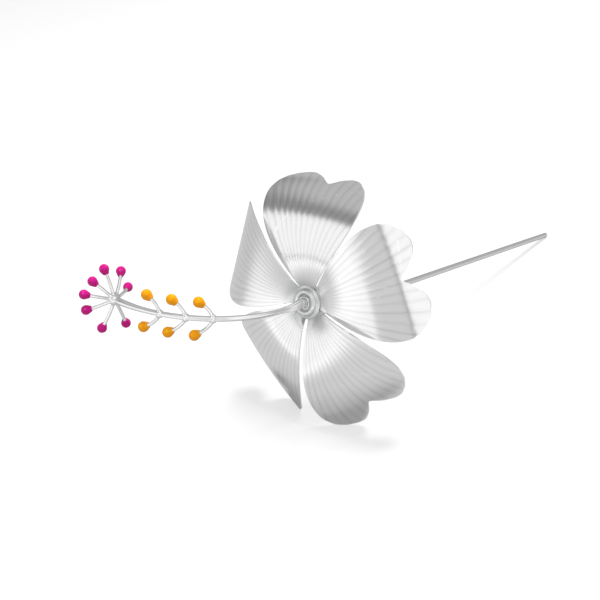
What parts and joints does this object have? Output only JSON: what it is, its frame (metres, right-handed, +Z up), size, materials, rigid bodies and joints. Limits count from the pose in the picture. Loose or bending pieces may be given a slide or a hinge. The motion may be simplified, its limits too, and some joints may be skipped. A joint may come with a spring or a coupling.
{
  "type": "hat pin",
  "caption": "Hat pin with a sheet metal hibiscus flower, pleated heart-shaped petals, a curved column with enamelled beads, and a straight blunt shank.",
  "frame": {"origin": "on the surface the pin lies on, under the middle of its bounding box", "axes": "+Z up, +X along the shank from its blunt end towards the flower"},
  "size_m": [0.16, 0.0726, 0.0596],
  "materials": {
    "silver_satin": "satin silver sheet, pleated",
    "silver_polished": "polished silver",
    "enamel_magenta": "glossy enamel",
    "enamel_orange": "glossy enamel"
  },
  "bodies": {
    "root": {"petal_top": "silver_satin", "petal_right": "silver_satin", "petal_lower": "silver_satin", "petal_lower_left": "silver_satin", "petal_left": "silver_satin", "collar_cup": "silver_polished", "column_ferrule": "silver_polished", "calyx_cup": "silver_polished", "pin_stem": "silver_polished", "style_column": "silver_polished", "stamen_wire_1": "silver_polished", "stamen_bead_1": "enamel_orange", "stamen_wire_2": "silver_polished", "stamen_bead_2": "enamel_orange", "stamen_wire_3": "silver_polished", "stamen_bead_3": "enamel_orange", "stamen_wire_4": "silver_polished", "stamen_bead_4": "enamel_orange", "stamen_wire_5": "silver_polished", "stamen_bead_5": "enamel_orange", "stamen_wire_6": "silver_polished", "stamen_bead_6": "enamel_orange", "stigma_hub": "silver_polished", "stigma_arm_1": "silver_polished", "stigma_bead_1": "enamel_magenta", "stigma_arm_2": "silver_polished", "stigma_bead_2": "enamel_magenta", "stigma_arm_3": "silver_polished", "stigma_bead_3": "enamel_magenta", "stigma_arm_4": "silver_polished", "stigma_bead_4": "enamel_magenta", "stigma_arm_5": "silver_polished", "stigma_bead_5": "enamel_magenta", "stigma_arm_6": "silver_polished", "stigma_bead_6": "enamel_magenta", "stigma_arm_7": "silver_polished", "stigma_bead_7": "enamel_magenta", "stigma_arm_8": "silver_polished", "stigma_bead_8": "enamel_magenta"}
  },
  "joints": []
}
